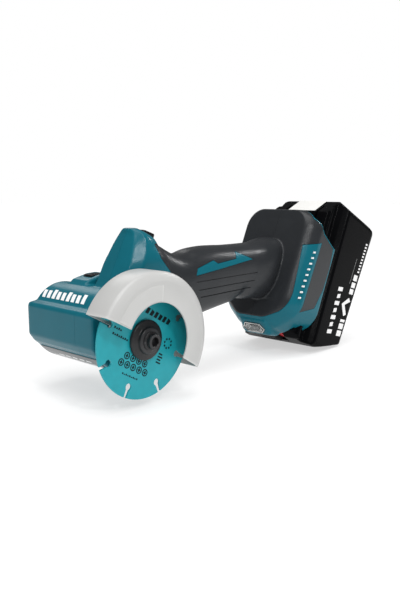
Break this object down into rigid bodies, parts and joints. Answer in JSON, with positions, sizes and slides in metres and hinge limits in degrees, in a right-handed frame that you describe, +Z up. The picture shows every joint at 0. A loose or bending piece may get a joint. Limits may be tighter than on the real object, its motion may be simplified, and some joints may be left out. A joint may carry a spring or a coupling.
{
  "type": "cordless cut-off saw",
  "caption": "Compact cordless cut-off saw: small abrasive disc under a turnable guard, motor barrel, rubber handle and a tilted slide-on battery.",
  "frame": {"origin": "middle of the bounding box in plan, at the height of the lowest point, the battery's lower edge", "axes": "+X from the disc towards the battery along the handle, +Z up, -Y out of the disc's outer face"},
  "size_m": [0.3186, 0.104, 0.1268],
  "materials": {
    "teal_plastic": "fine leather grain, satin",
    "grip_rubber": "soft matt rubber",
    "black_plastic": "fine grain, satin",
    "black_gloss": "smooth, half gloss",
    "red_plastic": "smooth",
    "steel": "machined",
    "bearing_steel": "ground and polished",
    "dark_steel": "blackened, half gloss",
    "guard_metal": "pale grey powder coat",
    "disc_coating": "turquoise coating, half gloss",
    "iron": "stamped sheets, bare",
    "copper": "enamelled wire",
    "green_board": "solder mask",
    "aluminium_box": "cast, bare",
    "lens": "clear, smooth",
    "label_white": "printed film",
    "label_grey": "printed silver film",
    "cell_sleeve": "shrunk film"
  },
  "bodies": {
    "tool": {"housing_near": "teal_plastic", "housing_far": "teal_plastic", "grip_near": "grip_rubber", "grip_far": "grip_rubber", "bearing_box": "aluminium_box", "front_bearing": "bearing_steel", "rear_bearing": "bearing_steel", "stator_core": "iron", "stator_winding": "copper", "sensor_board": "green_board", "switch_unit": "black_plastic", "controller": "aluminium_box", "terminal_block": "black_plastic", "lamp_lens": "lens", "lamp_board": "green_board", "rating_plate": "label_grey", "housing_screw_1": "steel", "housing_screw_2": "steel", "housing_screw_3": "steel", "housing_screw_4": "steel", "housing_screw_5": "steel", "housing_screw_6": "steel", "trigger_spring": "steel", "lock_off_spring": "steel", "shaft_lock_spring": "steel"},
    "spindle": {"rotor_shaft": "steel", "rotor_core": "iron", "cooling_fan": "black_plastic", "lock_wheel": "steel", "inner_flange": "dark_steel", "cutting_disc": "disc_coating", "outer_flange": "dark_steel", "clamp_bolt": "dark_steel"},
    "guard": {"wheel_guard": "guard_metal", "guard_clamp_screw": "steel"},
    "trigger": {"trigger": "black_plastic"},
    "lock_off": {"lock_off_button": "black_plastic"},
    "shaft_lock": {"shaft_lock_button": "black_plastic"},
    "battery": {"battery_upper_case": "black_gloss", "battery_lower_case": "black_gloss", "battery_board": "green_board", "battery_label": "label_white", "cell_1": "cell_sleeve", "cell_2": "cell_sleeve", "cell_3": "cell_sleeve", "cell_4": "cell_sleeve", "cell_5": "cell_sleeve", "cell_6": "cell_sleeve", "cell_7": "cell_sleeve", "cell_8": "cell_sleeve", "cell_9": "cell_sleeve", "cell_10": "cell_sleeve", "latch_spring": "steel"},
    "latch": {"release_button": "red_plastic"},
    "gauge": {"gauge_button": "black_plastic"}
  },
  "joints": [
    {"name": "spindle_spin", "type": "hinge", "parent": "tool", "child": "spindle", "pos_m": [-0.12049, -0.038, 0.04322], "axis": [0, 1, 0], "continuous": true},
    {"name": "guard_turn", "type": "hinge", "parent": "tool", "child": "guard", "pos_m": [-0.12049, -0.038, 0.04322], "axis": [0, 1, 0], "range_deg": [-60, 60]},
    {"name": "trigger_pull", "type": "slide", "parent": "tool", "child": "trigger", "axis": [0, 0, 1], "range_m": [0, 0.005], "stiffness_N_per_m": 300, "springref_m": -0.002, "deforming": ["trigger_spring"]},
    {"name": "lock_off_press", "type": "slide", "parent": "tool", "child": "lock_off", "axis": [-0.342, 0, -0.9397], "range_m": [0, 0.002], "stiffness_N_per_m": 300, "springref_m": -0.002, "deforming": ["lock_off_spring"]},
    {"name": "shaft_lock_press", "type": "slide", "parent": "tool", "child": "shaft_lock", "axis": [0, 0, -1], "range_m": [0, 0.003], "stiffness_N_per_m": 300, "springref_m": -0.002, "deforming": ["shaft_lock_spring"]},
    {"name": "battery_slide", "type": "slide", "parent": "tool", "child": "battery", "axis": [-0.4179, 0, -0.9085], "range_m": [0, 0.11]},
    {"name": "latch_press", "type": "slide", "parent": "battery", "child": "latch", "axis": [0.4179, 0, 0.9085], "range_m": [0, 0.0018], "stiffness_N_per_m": 300, "springref_m": -0.002, "deforming": ["latch_spring"]},
    {"name": "gauge_press", "type": "slide", "parent": "battery", "child": "gauge", "axis": [0.4179, 0, 0.9085], "range_m": [0, 0.001], "stiffness_N_per_m": 300, "springref_m": -0.001}
  ]
}
